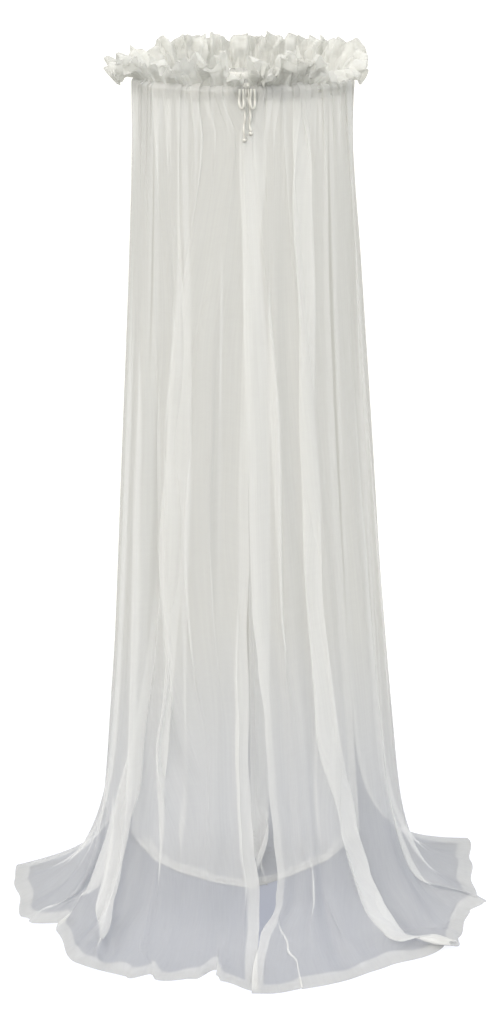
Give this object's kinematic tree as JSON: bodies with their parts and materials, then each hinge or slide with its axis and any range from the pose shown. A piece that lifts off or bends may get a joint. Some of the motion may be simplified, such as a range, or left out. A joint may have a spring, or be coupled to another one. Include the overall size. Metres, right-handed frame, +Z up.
{
  "type": "bed crown canopy",
  "caption": "Sheer voile bed veil in three floor-length drops on a round hoop, with a ruffled frill, a sewn casing and a drawcord tied in a bow at the front opening.",
  "frame": {"origin": "centre of the hoop, in the plane of the rod", "axes": "+Z up, the front opening towards -Y, +X to the right as seen from the front"},
  "size_m": [0.8201, 0.6274, 1.4544],
  "materials": {
    "voile": "matte, sheer",
    "voile_hem": "matte, two or three layers",
    "cotton_cord": "matte",
    "coated_steel": "satin white powder coat",
    "nylon": "satin"
  },
  "bodies": {
    "hoop_and_back": {"hoop_left_half": "coated_steel", "hoop_right_half": "coated_steel", "hoop_back_sleeve": "nylon", "hoop_front_sleeve": "nylon", "drawcord": "cotton_cord", "back_drape": "voile", "back_right_hem": "voile_hem", "back_left_hem": "voile_hem", "back_bottom_hem": "voile_hem", "back_casing": "voile_hem", "back_frill": "voile", "bow_knot": "cotton_cord", "bow_left_loop": "cotton_cord", "bow_left_tail": "cotton_cord", "bow_left_tail_knot": "cotton_cord", "bow_right_loop": "cotton_cord", "bow_right_tail": "cotton_cord", "bow_right_tail_knot": "cotton_cord"},
    "left_drop": {"left_curtain": "voile", "left_rear_hem": "voile_hem", "left_leading_hem": "voile_hem", "left_bottom_hem": "voile_hem", "left_casing": "voile_hem", "left_frill": "voile"},
    "right_drop": {"right_curtain": "voile", "right_rear_hem": "voile_hem", "right_leading_hem": "voile_hem", "right_bottom_hem": "voile_hem", "right_casing": "voile_hem", "right_frill": "voile"}
  },
  "joints": [
    {"name": "left_draw", "type": "hinge", "parent": "hoop_and_back", "child": "left_drop", "pos_m": [0, 0, 0], "axis": [0, 0, 1], "range_deg": [-50, 0], "deforming": ["left_curtain", "left_rear_hem", "left_leading_hem", "left_bottom_hem", "left_casing", "left_frill"]},
    {"name": "right_draw", "type": "hinge", "parent": "hoop_and_back", "child": "right_drop", "pos_m": [0, 0, 0], "axis": [0, 0, 1], "range_deg": [0, 50], "deforming": ["right_curtain", "right_rear_hem", "right_leading_hem", "right_bottom_hem", "right_casing", "right_frill"]}
  ]
}
